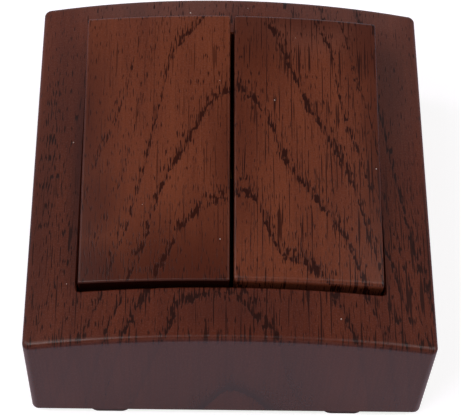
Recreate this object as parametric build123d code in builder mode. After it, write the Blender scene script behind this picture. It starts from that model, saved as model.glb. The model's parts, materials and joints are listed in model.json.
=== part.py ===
from build123d import *
import os
from math import cos, radians, sin, sqrt, tan

# Surface-mounted double light switch: an oak cover and two oak rockers over a see-saw mechanism.
# Millimetres. X runs across, +Y to the top edge on the wall, +Z out of the wall.
# The origin is the middle of the two wall slots, on the back face of the base plate.
# Both rockers rest with the near end (-Y) pressed, contacts open.

# Rocker caps
cap_width = 29.25
cap_length = 58.0
cap_gap = 0.8              # between the two caps
cap_height = 13.0          # crown to underside
cap_wall = 3.0
cap_roof = 5.7             # crown to the ceiling of the pocket below
cap_edge_round = 0.5
cap_near_round_right = 1.1  # the right cap's near edge is worn rounder
rocker_lift = 5.95         # level rocker crown above the cover crown
rocker_tilt = 8.0          # degrees each way from level
pivot_depth = 9.0          # pivot axis below the rocker crown

# Cover
cover_side_height = 28.5
crown_radius = 162.0
side_margin = 10.0         # cover beside the window
end_margin = 10.21         # cover above and below the window, on average
cover_shift = -0.96        # cover middle along Y from the mechanism middle
window_clearance = 0.35
window_corner_round = 0.8
window_edge_break = 0.3
pocket_margin = 2.0        # pocket beyond the window, each side
pocket_corner_round = 10.0
pocket_depth = 21.3
cover_corner_round = 1.5
cover_edge_round = 1.2
cover_back_chamfer = 0.5

# Base plate and pads
plate_rim = 4.0            # cover left around the plate
plate_thickness = 3.0
plate_clearance = 0.2
plate_corner_round = 3.0
wall_slot_spacing = 52.0
wall_slot_width = 4.5
wall_slot_length = 8.0
cable_hole_diameter = 9.0
cable_hole_x = 16.0
cable_hole_y = 25.5
pad_size = 9.4
pad_corner_round = 2.4
pad_height = 1.2
pad_spacing_x = 48.0
pad_setback = 0.3          # pad edge from the cover's outer face

# Screws
screw_diameter = 2.5
screw_head_diameter = 5.0
screw_clearance = 0.05
screw_slot_width = 0.8
screw_slot_depth = 0.5
cover_screw_length = 14.0
mechanism_screw_length = 10.0
screw_end_clearance = 0.8   # pilot hole past the screw's point

# Mechanism base
base_width = 58.0
base_length = 41.0
base_floor = 4.0
base_corner_round = 2.0
cheek_thickness = 2.5
cheek_foot = 8.0           # along Y
cheek_head_radius = 2.8
boss_diameter = 5.2
boss_height = 4.5
barrier_thickness = 2.0
barrier_height = 9.0
barrier_inset = 1.0        # from the base edge and from the common strip

# Pivots
pin_diameter = 3.0
pin_clearance = 0.05
hub_width = 13.6
hub_side_clearance = 0.2
carrier_thickness = 2.0
carrier_clearance = 0.1
carrier_notch_length = 11.0

# Spring and plunger
socket_diameter = 6.2
socket_bore_diameter = 4.2
socket_reach = 11.5        # pivot axis to the mouth of the socket
socket_web = 1.4           # between the pin bore and the spring bore
plunger_clearance = 0.2
plunger_stem_diameter = 3.0
plunger_guide_length = 2.4
plunger_entry = 0.4        # guide sits this far inside the mouth
plunger_reach = 14.7       # pivot axis to the plunger tip
spring_wire_diameter = 0.5
spring_turns = 4
spring_clearance = 0.3

# Contact see-saw
contact_tilt = 9.0         # degrees each way from level
blade_bend = 10.0          # each wing rises by this many degrees
blade_length = 23.0
blade_width = 8.0
blade_thickness = 1.0
knuckle_radius = 1.2
knuckle_clearance = 0.1
tip_clearance = 0.2        # plunger tip above the level blade
contact_inset = 2.0        # contact middle from the blade's end
contact_diameter = 3.5
contact_height = 1.2
contact_gap_closed = 0.08
strip_thickness = 1.0
cradle_width = 4.8
cradle_drop = 0.2          # cradle rim below the knuckle axis
common_strip_near = 6.0
common_strip_depth = 4.0
arm_width = 6.0
output_strip_width = 7.0

# Terminals
block_width = 7.5
block_length = 7.0
block_height = 7.0
block_floor = 1.0          # below the wire bore
wire_bore_diameter = 3.2
clamp_screw_diameter = 3.4
clamp_head_diameter = 5.4
clamp_head_height = 2.0

# Levels and reaches that follow from the sizes above
tilt = radians(rocker_tilt)
swing = radians(contact_tilt)
bend = radians(blade_bend)
pair_half = cap_gap / 2 + cap_width
cap_centre = cap_gap / 2 + cap_width / 2
end_reach = cap_length / 2 * cos(tilt) + pivot_depth * sin(tilt)
window_width = 2 * (pair_half + window_clearance)
window_length = 2 * (end_reach + window_clearance)
pocket_width = window_width + 2 * pocket_margin
pocket_length = window_length + 2 * pocket_margin
cover_width = window_width + 2 * side_margin
cover_length = window_length + 2 * end_margin
crown_rise = crown_radius - sqrt(crown_radius**2 - (cover_width / 2) ** 2)
crown_height = cover_side_height + crown_rise
pivot_height = crown_height + rocker_lift - pivot_depth
plate_width = cover_width - 2 * plate_rim
plate_length = cover_length - 2 * plate_rim

cap_bottom = pivot_depth - cap_height
cap_ceiling = pivot_depth - cap_roof
pocket_cap_width = cap_width - 2 * cap_wall
pocket_cap_length = cap_length - 2 * cap_wall
hub_radius = cap_ceiling
pin_bore_radius = pin_diameter / 2 + pin_clearance
spring_top = -pin_bore_radius - socket_web
guide_bottom = plunger_entry - socket_reach
spring_bottom = guide_bottom + plunger_guide_length
tip_radius = plunger_stem_diameter / 2
cheek_offset = hub_width / 2 + hub_side_clearance + cheek_thickness / 2
pin_length = 2 * cheek_offset + cheek_thickness

blade_valley = knuckle_radius + blade_thickness
knuckle_height = pivot_height - plunger_reach - tip_clearance - blade_valley
contact_reach = blade_length / 2 - contact_inset
wing_rise = contact_reach * tan(bend)
face_y = -contact_reach - contact_height * sin(bend)
face_z = knuckle_radius + wing_rise - contact_height * cos(bend)
closed_contact_y = face_y * cos(swing) - face_z * sin(swing)
closed_contact_z = knuckle_height + face_y * sin(swing) + face_z * cos(swing)
output_top = closed_contact_z - contact_gap_closed - contact_height
common_top = knuckle_height - knuckle_radius - knuckle_clearance - strip_thickness
floor_top = plate_thickness + base_floor
block_outer = base_length / 2
block_centre = block_outer - block_length / 2

# Screw places: cover screws sit between the pocket corner and the plate corner
corner_inset = pocket_corner_round * (1 - sqrt(0.5))
cover_screw_x = (pocket_width / 2 - corner_inset + plate_width / 2) / 2
cover_screw_y = (pocket_length / 2 - corner_inset + plate_length / 2) / 2
boss_spacing_x = base_width - boss_diameter
pad_spacing_y = cover_length - 2 * pad_setback - pad_size

sides = {"left": -cap_centre, "right": cap_centre}
os.makedirs("parts", exist_ok=True)


def save(builder, name):
    """Label the solid of a builder and write it as one STEP file."""
    builder.part.label = name
    export_step(builder.part, f"parts/{name}.step")


def rocker_frame(x):
    """Frame of a rocker at rest: origin on its pivot, y along the cap, z out of the cap."""
    return Plane(origin=(x, 0, pivot_height), x_dir=(1, 0, 0), z_dir=(0, -sin(tilt), cos(tilt)))


def contact_frame(x):
    """Frame of a see-saw at rest: origin on its knuckle, y along the blade."""
    return Plane(origin=(x, 0, knuckle_height), x_dir=(1, 0, 0), z_dir=(0, sin(swing), cos(swing)))


def across(frame):
    """Plane square to a frame's y axis, with sketch axes along its x and z."""
    return Plane(origin=frame.origin, x_dir=frame.x_dir, z_dir=-frame.y_dir)


def along(frame):
    """Plane square to a frame's x axis, with sketch axes along its y and z."""
    return Plane(origin=frame.origin, x_dir=frame.y_dir, z_dir=frame.x_dir)


def crowned_section(width_from, width_to, bottom, crown):
    """Sketch section with straight sides and the crown arc on top, its crown above x = 0."""
    with Locations((0, crown - crown_radius)):
        Circle(crown_radius)
    with Locations(((width_from + width_to) / 2, (bottom + crown) / 2)):
        Rectangle(width_to - width_from, crown - bottom, mode=Mode.INTERSECT)


def crowned_face(builder):
    """Top face of a crowned block."""
    return builder.faces().filter_by(GeomType.CYLINDER).sort_by(SortBy.AREA)[-1]


def countersunk_screw(length):
    """Countersunk screw with a slotted head, the head at the back face."""
    head = screw_head_diameter / 2
    shank = screw_diameter / 2
    with BuildPart() as screw:
        with BuildSketch(Plane.XZ):
            with BuildLine():
                Polyline((0, 0), (head, 0), (shank, head - shank), (shank, length), (0, length), close=True)
            make_face()
        revolve(axis=Axis.Z)
        with BuildSketch():
            Rectangle(screw_head_diameter, screw_slot_width)
        extrude(amount=screw_slot_depth, mode=Mode.SUBTRACT)
    return screw.part


def terminal_block(foot):
    """Brass wire clamp standing on a strip, with its wire bore along Y and its screw hole on top."""
    bore_level = wire_bore_diameter / 2 + block_floor
    with BuildPart() as block:
        with BuildSketch(foot):
            Rectangle(block_width, block_length)
        extrude(amount=block_height)
        with BuildSketch(across(foot)):
            with Locations((0, bore_level)):
                Circle(wire_bore_diameter / 2)
        extrude(amount=block_length, both=True, mode=Mode.SUBTRACT)
        with BuildSketch(foot.offset(bore_level)):
            Circle(clamp_screw_diameter / 2 + screw_clearance)
        extrude(amount=block_height, mode=Mode.SUBTRACT)
    return block


def clamp_screw(foot):
    """Slotted cheese-head screw that reaches into the wire bore."""
    tip_level = wire_bore_diameter / 2 + block_floor
    with BuildPart() as screw:
        with BuildSketch(foot.offset(tip_level)):
            Circle(clamp_screw_diameter / 2)
        extrude(amount=block_height - tip_level)
        with BuildSketch(foot.offset(block_height)):
            Circle(clamp_head_diameter / 2)
        extrude(amount=clamp_head_height)
        with BuildSketch(foot.offset(block_height + clamp_head_height)):
            Rectangle(clamp_head_diameter, screw_slot_width)
        extrude(amount=-clamp_head_height / 2, mode=Mode.SUBTRACT)
    return screw


# Oak cover
with BuildPart() as cover:
    with BuildSketch(Plane.XZ.offset(-cover_shift)):
        crowned_section(-cover_width / 2, cover_width / 2, 0, crown_height)
    extrude(amount=cover_length / 2, both=True)
    fillet(cover.edges().filter_by(Axis.Z), cover_corner_round)
    fillet(crowned_face(cover).edges(), cover_edge_round)
    chamfer(cover.faces().sort_by(Axis.Z)[0].edges(), cover_back_chamfer)
    with BuildSketch():
        RectangleRounded(window_width, window_length, window_corner_round)
    extrude(amount=crown_height, mode=Mode.SUBTRACT)
    chamfer(crowned_face(cover).inner_wires()[0].edges(), window_edge_break)
    with BuildSketch():
        RectangleRounded(pocket_width, pocket_length, pocket_corner_round)
    extrude(amount=pocket_depth, mode=Mode.SUBTRACT)
    with BuildSketch():
        with Locations((0, cover_shift)):
            RectangleRounded(
                plate_width + 2 * plate_clearance,
                plate_length + 2 * plate_clearance,
                plate_corner_round + plate_clearance,
            )
    extrude(amount=plate_thickness, mode=Mode.SUBTRACT)
    with BuildSketch(Plane.XY.offset(plate_thickness)):
        with Locations((0, cover_shift)):
            with GridLocations(2 * cover_screw_x, 2 * cover_screw_y, 2, 2):
                Circle(screw_diameter / 2 + screw_clearance)
    extrude(amount=cover_screw_length - plate_thickness + screw_end_clearance, mode=Mode.SUBTRACT)
save(cover, "cover")

# Base plate: closes the back, carries the mechanism and the wall slots
with BuildPart() as base_plate:
    with BuildSketch():
        with Locations((0, cover_shift)):
            RectangleRounded(plate_width, plate_length, plate_corner_round)
        with GridLocations(0, wall_slot_spacing, 1, 2):
            SlotOverall(wall_slot_length, wall_slot_width, rotation=90, mode=Mode.SUBTRACT)
        with Locations((cable_hole_x, cable_hole_y)):
            Circle(cable_hole_diameter / 2, mode=Mode.SUBTRACT)
    extrude(amount=plate_thickness)
    back = Plane(origin=(0, 0, 0), x_dir=(1, 0, 0), z_dir=(0, 0, -1))
    screw_hole = screw_diameter / 2 + screw_clearance
    screw_sink = screw_head_diameter / 2 + screw_clearance
    with Locations(back):
        with GridLocations(boss_spacing_x, 0, 2, 1):
            CounterSinkHole(screw_hole, screw_sink, plate_thickness, 90)
        with Locations((0, -cover_shift)):
            with GridLocations(2 * cover_screw_x, 2 * cover_screw_y, 2, 2):
                CounterSinkHole(screw_hole, screw_sink, plate_thickness, 90)
save(base_plate, "base_plate")

# Rubber pads on the back
with BuildPart() as wall_pads:
    with BuildSketch(Plane.XY.offset(-pad_height)):
        with Locations((0, cover_shift)):
            with GridLocations(pad_spacing_x, pad_spacing_y, 2, 2):
                RectangleRounded(pad_size, pad_size, pad_corner_round)
    extrude(amount=pad_height)
save(wall_pads, "wall_pads")

# Screws from the back
with BuildPart() as cover_screws:
    with Locations((0, cover_shift)):
        with GridLocations(2 * cover_screw_x, 2 * cover_screw_y, 2, 2):
            add(countersunk_screw(cover_screw_length))
save(cover_screws, "cover_screws")

with BuildPart() as mechanism_screws:
    with GridLocations(boss_spacing_x, 0, 2, 1):
        add(countersunk_screw(mechanism_screw_length))
save(mechanism_screws, "mechanism_screws")

# Mechanism base: floor, pedestals for the strips, bosses, barrier and bearing cheeks
with BuildPart() as mechanism_base:
    with BuildSketch(Plane.XY.offset(plate_thickness)):
        RectangleRounded(base_width, base_length, base_corner_round)
    extrude(amount=base_floor)
    with BuildSketch(Plane.XY.offset(floor_top)):
        with GridLocations(boss_spacing_x, 0, 2, 1):
            Circle(boss_diameter / 2)
    extrude(amount=boss_height)
    with BuildSketch(Plane.XY.offset(floor_top)):
        with Locations((0, (common_strip_near - base_length / 2) / 2)):
            Rectangle(barrier_thickness, base_length / 2 + common_strip_near - 2 * barrier_inset)
    extrude(amount=barrier_height)
    with BuildSketch(Plane.XY.offset(floor_top)):
        with Locations((0, common_strip_near + common_strip_depth / 2)):
            Rectangle(2 * cap_centre + arm_width, common_strip_depth)
        with Locations((0, block_centre)):
            Rectangle(output_strip_width, block_length)
        for x in sides.values():
            with Locations((x, common_strip_near / 2 - cradle_width / 4)):
                Rectangle(arm_width, common_strip_near + cradle_width / 2)
    extrude(amount=common_top - strip_thickness - floor_top)
    with BuildSketch(Plane.XY.offset(floor_top)):
        for x in sides.values():
            with Locations((x, -(block_outer + contact_reach - contact_diameter / 2) / 2)):
                Rectangle(output_strip_width, block_outer - contact_reach + contact_diameter / 2)
    extrude(amount=output_top - strip_thickness - floor_top)
    for x in sides.values():
        for cheek_x in (x - cheek_offset, x + cheek_offset):
            with BuildSketch(Plane.YZ.offset(cheek_x)):
                with Locations((0, (floor_top + pivot_height) / 2)):
                    Trapezoid(cheek_foot, pivot_height - floor_top, 86)
                with Locations((0, pivot_height)):
                    Circle(cheek_head_radius)
            extrude(amount=cheek_thickness / 2, both=True)
    with BuildSketch(Plane.YZ):
        with Locations((0, pivot_height)):
            Circle(pin_bore_radius)
    extrude(amount=base_width, both=True, mode=Mode.SUBTRACT)
    with BuildSketch(Plane.XY.offset(plate_thickness)):
        with GridLocations(boss_spacing_x, 0, 2, 1):
            Circle(screw_diameter / 2 + screw_clearance)
    extrude(amount=mechanism_screw_length - plate_thickness + screw_end_clearance, mode=Mode.SUBTRACT)
save(mechanism_base, "mechanism_base")

# Common strip: one stamping with a cradle under each see-saw
with BuildPart() as common_strip:
    with BuildSketch(Plane.XY.offset(common_top - strip_thickness)):
        with Locations((0, common_strip_near + common_strip_depth / 2)):
            Rectangle(2 * cap_centre + arm_width, common_strip_depth)
        with Locations((0, (common_strip_near + block_outer) / 2)):
            Rectangle(arm_width, block_outer - common_strip_near)
        for x in sides.values():
            with Locations((x, common_strip_near / 2 - cradle_width / 4)):
                Rectangle(arm_width, common_strip_near + cradle_width / 2)
    extrude(amount=strip_thickness)
    for x in sides.values():
        with BuildSketch(Plane.YZ.offset(x)):
            with Locations((0, (common_top + knuckle_height - cradle_drop) / 2)):
                Rectangle(cradle_width, knuckle_height - cradle_drop - common_top)
            with Locations((0, knuckle_height)):
                Circle(knuckle_radius + knuckle_clearance, mode=Mode.SUBTRACT)
        extrude(amount=arm_width / 2, both=True)
save(common_strip, "common_strip")


# Wire clamps and their screws
block_feet = {"common": Plane(origin=(0, block_centre, common_top))}
for side, x in sides.items():
    block_feet[side] = Plane(origin=(x, -block_centre, output_top))
for place, foot in block_feet.items():
    save(terminal_block(foot), f"terminal_block_{place}")
    save(clamp_screw(foot), f"terminal_screw_{place}")

for side, x in sides.items():
    # Output strip and its contact
    with BuildPart() as output_strip:
        with BuildSketch(Plane.XY.offset(output_top - strip_thickness)):
            with Locations((x, -(block_outer + contact_reach - contact_diameter / 2) / 2)):
                Rectangle(output_strip_width, block_outer - contact_reach + contact_diameter / 2)
        extrude(amount=strip_thickness)
    save(output_strip, f"output_strip_{side}")

    with BuildPart() as fixed_contact:
        with BuildSketch(Plane.XY.offset(output_top)):
            with Locations((x, closed_contact_y)):
                Circle(contact_diameter / 2)
        extrude(amount=contact_height)
    save(fixed_contact, f"fixed_contact_{side}")

    # Pivot pin
    with BuildPart() as pivot_pin:
        with BuildSketch(Plane.YZ.offset(x)):
            with Locations((0, pivot_height)):
                Circle(pin_diameter / 2)
        extrude(amount=pin_length / 2, both=True)
    save(pivot_pin, f"pivot_pin_{side}")

    # Oak rocker cap
    frame = rocker_frame(x)
    middle = rocker_frame(0)
    near_round = cap_near_round_right if side == "right" else cap_edge_round
    with BuildPart() as rocker_cap:
        with BuildSketch(across(middle)):
            crowned_section(x - cap_width / 2, x + cap_width / 2, cap_bottom, pivot_depth)
        extrude(amount=cap_length / 2, both=True)
        upright = Axis(frame.origin, frame.z_dir)
        lengthwise = Axis(frame.origin, frame.y_dir)
        fillet(crowned_face(rocker_cap).edges().sort_by(lengthwise)[0], near_round)
        bottom_edges = rocker_cap.faces().sort_by(upright)[0].edges()
        near_line = crowned_face(rocker_cap).edges().sort_by(lengthwise)[0]
        front_line = rocker_cap.faces().sort_by(lengthwise)[0].edges().sort_by(upright)[-1]
        rim = [e for e in rocker_cap.edges() if e not in bottom_edges + [near_line, front_line]]
        fillet(rim, cap_edge_round)
        with BuildSketch(frame.offset(cap_bottom)):
            Rectangle(pocket_cap_width, pocket_cap_length)
        extrude(amount=cap_height - cap_roof, mode=Mode.SUBTRACT)
    save(rocker_cap, f"rocker_cap_{side}")

    # Carrier inside the cap: plate, pin hub and spring socket
    with BuildPart() as rocker_carrier:
        with BuildSketch(frame.offset(cap_ceiling - carrier_thickness)):
            Rectangle(pocket_cap_width - 2 * carrier_clearance, pocket_cap_length - 2 * carrier_clearance)
            with GridLocations(hub_width + pocket_cap_width, 0, 2, 1):
                Rectangle(pocket_cap_width, carrier_notch_length, mode=Mode.SUBTRACT)
        extrude(amount=carrier_thickness)
        with BuildSketch(along(frame)):
            Circle(hub_radius)
        extrude(amount=hub_width / 2, both=True)
        with BuildSketch(frame.offset(-socket_reach)):
            Circle(socket_diameter / 2)
        extrude(amount=socket_reach)
        with BuildSketch(along(frame)):
            Circle(pin_bore_radius)
        extrude(amount=hub_width, both=True, mode=Mode.SUBTRACT)
        with BuildSketch(frame.offset(-socket_reach)):
            Circle(socket_bore_diameter / 2)
        extrude(amount=socket_reach + spring_top, mode=Mode.SUBTRACT)
    save(rocker_carrier, f"rocker_carrier_{side}")

    # Coil spring in the socket
    wire = spring_wire_diameter / 2
    coil = socket_bore_diameter / 2 - spring_clearance - wire
    coil_height = spring_top - spring_bottom - spring_wire_diameter
    with BuildPart() as spring:
        with BuildLine() as coil_line:
            seat = frame.offset(spring_bottom + wire).origin
            Helix(coil_height / spring_turns, coil_height, coil, seat, frame.z_dir)
        with BuildSketch(coil_line.line ^ 0):
            RegularPolygon(wire, 4)
        sweep(path=coil_line.line, is_frenet=True)
    save(spring, f"spring_{side}")

    # Plunger: its tip is a round ridge that slides on the blade
    guide = socket_bore_diameter / 2 - plunger_clearance
    stem_length = guide_bottom + plunger_reach
    with BuildPart() as plunger:
        with BuildSketch(frame.offset(-plunger_reach)):
            Circle(tip_radius)
        extrude(amount=stem_length)
        with BuildSketch(along(frame)):
            with Locations((0, tip_radius - plunger_reach)):
                Circle(tip_radius)
            with Locations((0, (tip_radius - plunger_reach + guide_bottom) / 2)):
                Rectangle(2 * tip_radius, stem_length - tip_radius)
        extrude(amount=tip_radius, both=True, mode=Mode.INTERSECT)
        with BuildSketch(frame.offset(guide_bottom)):
            Circle(guide)
        extrude(amount=plunger_guide_length)
    save(plunger, f"plunger_{side}")

    # See-saw blade: two wings bent up from the knuckle
    seesaw = contact_frame(x)
    half = blade_length / 2
    with BuildPart() as contact_blade:
        with BuildSketch(along(seesaw)):
            with BuildLine():
                Polyline(
                    (0, knuckle_radius),
                    (half, knuckle_radius + half * tan(bend)),
                    (half, blade_valley + half * tan(bend)),
                    (0, blade_valley),
                    (-half, blade_valley + half * tan(bend)),
                    (-half, knuckle_radius + half * tan(bend)),
                    close=True,
                )
            make_face()
        extrude(amount=blade_width / 2, both=True)
        with BuildSketch(along(seesaw)):
            Circle(knuckle_radius)
            with Locations((0, knuckle_radius / 2 + blade_thickness / 4)):
                Rectangle(knuckle_radius, knuckle_radius + blade_thickness / 2)
        extrude(amount=arm_width / 2, both=True)
    save(contact_blade, f"contact_blade_{side}")

    # Its contact, square to the wing that comes down on the fixed contact
    under_wing = seesaw.from_local_coords((0, -contact_reach, knuckle_radius + wing_rise))
    off_wing = seesaw.from_local_coords((0, -sin(bend), -cos(bend))) - seesaw.origin
    with BuildPart() as moving_contact:
        with BuildSketch(Plane(origin=under_wing, x_dir=(1, 0, 0), z_dir=off_wing)):
            Circle(contact_diameter / 2)
        extrude(amount=contact_height)
    save(moving_contact, f"moving_contact_{side}")
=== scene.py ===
"""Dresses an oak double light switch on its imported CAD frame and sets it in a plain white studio.

The cover and the two rocker caps are stained oak under satin lacquer. Their growth-ring figure is one
drawing in millimetres that runs on from the cover over both caps, as in a block sawn from one board.
The mechanism behind them keeps its CAD meshes and gets plain moulded, brass, steel and silver finishes.
"""

from __future__ import annotations

import json
import logging
import math
from dataclasses import dataclass
from enum import Enum
from typing import Any

import bpy
import numpy as np
from bpy.types import GeometryNodeTree, Material, Mesh, Node, NodeSocket, NodeTree, Object
from mathutils import Matrix, Vector

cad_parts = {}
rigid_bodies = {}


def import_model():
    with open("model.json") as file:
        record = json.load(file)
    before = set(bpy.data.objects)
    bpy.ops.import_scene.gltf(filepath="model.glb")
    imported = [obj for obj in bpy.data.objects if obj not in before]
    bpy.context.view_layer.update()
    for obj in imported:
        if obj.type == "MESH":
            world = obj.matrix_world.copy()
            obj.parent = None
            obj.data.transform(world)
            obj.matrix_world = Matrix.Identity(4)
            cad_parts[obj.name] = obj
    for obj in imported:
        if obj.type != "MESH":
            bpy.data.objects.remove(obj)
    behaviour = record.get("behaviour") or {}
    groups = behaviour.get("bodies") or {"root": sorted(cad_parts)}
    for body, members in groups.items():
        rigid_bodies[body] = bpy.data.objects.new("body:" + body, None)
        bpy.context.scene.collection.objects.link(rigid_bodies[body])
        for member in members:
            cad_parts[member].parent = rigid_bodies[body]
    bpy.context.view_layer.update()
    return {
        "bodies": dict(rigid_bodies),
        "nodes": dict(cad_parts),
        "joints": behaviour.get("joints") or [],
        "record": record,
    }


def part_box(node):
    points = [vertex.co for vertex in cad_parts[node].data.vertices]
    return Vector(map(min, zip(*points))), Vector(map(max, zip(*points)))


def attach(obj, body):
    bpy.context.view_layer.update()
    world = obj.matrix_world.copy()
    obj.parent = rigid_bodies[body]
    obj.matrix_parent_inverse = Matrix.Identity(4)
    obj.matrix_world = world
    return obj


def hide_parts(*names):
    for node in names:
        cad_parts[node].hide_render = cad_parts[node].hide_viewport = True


LOG = logging.getLogger("oak_switch")
MM = 0.001
GRAIN_UV = "grain"

Place = tuple[float, float, float]
Points = tuple[tuple[float, float], ...]


def linear(hex_colour: str) -> tuple[float, float, float, float]:
    """Turn an sRGB hex colour into linear RGBA.

    Args:
        hex_colour: Six hex digits with a leading hash.

    Returns:
        Linear red, green, blue and an alpha of 1.
    """
    parts = [int(hex_colour[i : i + 2], 16) / 255 for i in (1, 3, 5)]
    r, g, b = (p / 12.92 if p <= 0.04045 else ((p + 0.055) / 1.055) ** 2.4 for p in parts)
    return (r, g, b, 1.0)


def add_node(tree: NodeTree, kind: str, inputs: dict[Any, Any] | None = None, **settings: Any) -> Node:
    """Add a node, set it up and link it.

    Args:
        tree: Node tree that gets the node.
        kind: Blender's type name of the node.
        inputs: Input name, or its index where names repeat or there is one alone, to a constant, to the
            output socket that feeds it, or to a node whose first output feeds it.
        settings: Attributes of the node itself.

    Returns:
        The new node.
    """
    node = tree.nodes.new(kind)
    for name, value in settings.items():
        setattr(node, name, value)
    for key, value in (inputs or {}).items():
        if isinstance(value, Node):
            value = value.outputs[0]
        if isinstance(value, NodeSocket):
            tree.links.new(value, node.inputs[key])
        else:
            node.inputs[key].default_value = value
    return node


def new_material(name: str) -> tuple[Material, NodeTree]:
    """Make an empty node material.

    Args:
        name: Name of the material.

    Returns:
        The material and its node tree.
    """
    material = bpy.data.materials.new(name)
    material.use_nodes = True
    material.node_tree.nodes.clear()
    return material, material.node_tree


def set_material(obj: Object, material: Material) -> None:
    """Give an object one material in its first slot."""
    obj.data.materials.clear()
    obj.data.materials.append(material)


def new_object(name: str, data: bpy.types.ID) -> Object:
    """Put a new object in the scene.

    Args:
        name: Name of the object.
        data: Its mesh, lamp or camera.

    Returns:
        The object at the origin.
    """
    obj = bpy.data.objects.new(name, data)
    bpy.context.scene.collection.objects.link(obj)
    return obj


class Side(Enum):
    """The two halves of the switch, as seen from the room."""

    LEFT = "left"
    RIGHT = "right"


class Lay(Enum):
    """Which way a face of a wooden block looks, and so how the figure is laid on it."""

    TOP = 0
    END = 1
    FLANK = 2


@dataclass(frozen=True)
class BoardPlan:
    """The grain map inside one oak material, in millimetres."""

    tree: NodeTree
    place: Node
    across: NodeSocket
    along: NodeSocket


@dataclass(frozen=True)
class Flecks:
    """A field of soft flecks along the grain, by the width and length of one in millimetres.

    Detail adds finer flecks within, and start shifts the field to another part of it.
    """

    width: float
    length: float
    detail: float = 2.0
    start: float = 0.0

    def draw(self, plan: BoardPlan) -> Node:
        """Draw the field.

        Args:
            plan: Grain map to draw on.

        Returns:
            Noise of about 0.5, higher on the flecks.
        """
        place = add_node(
            plan.tree,
            "ShaderNodeVectorMath",
            {0: plan.place, 1: (1 / self.width, 1 / self.length, 0), 2: (self.start, 0, 0)},
            operation="MULTIPLY_ADD",
        )
        return add_node(
            plan.tree,
            "ShaderNodeTexNoise",
            {"Vector": place, "Scale": 1.0, "Detail": self.detail},
            noise_dimensions="2D",
        )


@dataclass(frozen=True)
class StainAndPaintedLightSpot:
    """A soft spot in millimetres on the grain map; it lays deeper stain, trails of pores, painted shade and
    painted sheen alike.

    Within the core, a share of its reach, the spot has its full depth.
    """

    x: float
    y: float
    reach_x: float
    reach_y: float
    depth: float
    core: float = 0.0

    def draw(self, plan: BoardPlan) -> Node:
        """Draw the spot.

        Args:
            plan: Grain map to draw on.

        Returns:
            Its depth, full in the core and 0 beyond its reach.
        """
        tree = plan.tree
        away = add_node(
            tree, "ShaderNodeVectorMath", {0: plan.place, 1: (self.x, self.y, 0)}, operation="SUBTRACT"
        )
        scaled = add_node(
            tree,
            "ShaderNodeVectorMath",
            {0: away, 1: (self.reach_x, self.reach_y, 1)},
            operation="DIVIDE",
        )
        reach = add_node(tree, "ShaderNodeVectorMath", {0: scaled}, operation="LENGTH")
        return add_node(
            tree,
            "ShaderNodeMapRange",
            {0: reach.outputs["Value"], 1: self.core, 3: self.depth, 4: 0.0},
            interpolation_type="SMOOTHSTEP",
        )


def lay_spots(plan: BoardPlan, mask: Node, spots: tuple[StainAndPaintedLightSpot, ...], how: str = "MAXIMUM") -> Node:
    """Lay soft spots over a mask.

    Args:
        plan: Grain map of the material.
        mask: Mask from 0 to 1.
        spots: Spots to lay over it.
        how: Math operation that joins each spot to the mask.

    Returns:
        The mask with its spots.
    """
    for spot in spots:
        mask = add_node(plan.tree, "ShaderNodeMath", {0: mask, 1: spot.draw(plan)}, operation=how)
    return mask


@dataclass(frozen=True)
class GrowthRing:
    """One growth ring where it meets the sawn face.

    The line is drawn by points in millimetres on the grain map, from left to right. A fade of 0 is a full
    dark line of pores, and a fade of a few millimetres leaves only a trail of single pores.
    """

    line: Points
    fade_left: float = 0.0
    fade_right: float = 0.0


BOARD_RINGS = (
    GrowthRing(((-14, -65), (-3.6, -55.6), (0.3, -52.3), (4.4, -53.6), (12, -62)), -2.4, -2.4),
    GrowthRing(
        ((-20, -58), (-12.4, -40), (-10.8, -36.4), (-8.9, -34.3), (-6, -32.6), (-3.7, -31.7), (-0.9, -31.2),
         (1.4, -33), (3.5, -35.7), (5.2, -38), (8, -40), (11, -48), (15.8, -56)),
        -0.6,
        -0.6,
    ),
    GrowthRing(
        ((-25, -56), (-19.4, -38), (-13.3, -27), (-9.2, -18.3), (-4.7, -14.6), (0.8, -12.2), (4.3, -12.7),
         (6.2, -17.7), (10.5, -24.6), (14.5, -26.6), (18.5, -29.5), (24, -42), (30, -58)),
    ),
    GrowthRing(
        ((-29, -58), (-23.2, -38), (-17, -22), (-13.5, -10), (-8, 0.3), (-2.5, 9.2), (3, 9.2), (6.8, 4.6),
         (10, -3.7), (14.5, -10.8), (20, -17), (24.3, -26), (31, -45), (36, -60)),
        0.0,
        0.1,
    ),
    GrowthRing(
        ((-36, -58), (-27.5, -38), (-22, -23), (-18.5, -11.5), (-14.5, 7.4), (-12, 18.5), (-8, 24), (0, 33),
         (5, 30), (7.4, 25), (11.4, 17.2), (14.6, 8.2), (18.3, 2), (21.6, -4), (24.7, -11), (26, -16.6),
         (33, -40), (38, -58)),
        0.5,
    ),
    GrowthRing(
        ((-36, -48), (-26.8, -23.7), (-22, -9), (-17.4, 12), (-12, 32), (0, 52), (12, 38), (16.3, 27.4),
         (20, 20), (22, 8), (26.8, -7.4), (28.3, -12.4), (36, -40)),
        1.5,
        0.3,
    ),
    GrowthRing(
        ((-36, -34), (-29.6, -15), (-26.3, -2.5), (-23, 4.5), (-18, 25), (0, 72), (18, 40), (25, 16),
         (27.8, 5.6), (29, -0.6), (37, -36)),
        1.3,
        0.7,
    ),
    GrowthRing(
        ((-40, -40), (-33, 0), (-26, 40), (0, 90), (26, 40), (31.5, 8), (33, -1.1), (34.5, -9.7),
         (36, -19.4), (38.1, -27), (40, -36)),
        1.6,
        -1.0,
    ),
)


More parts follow.
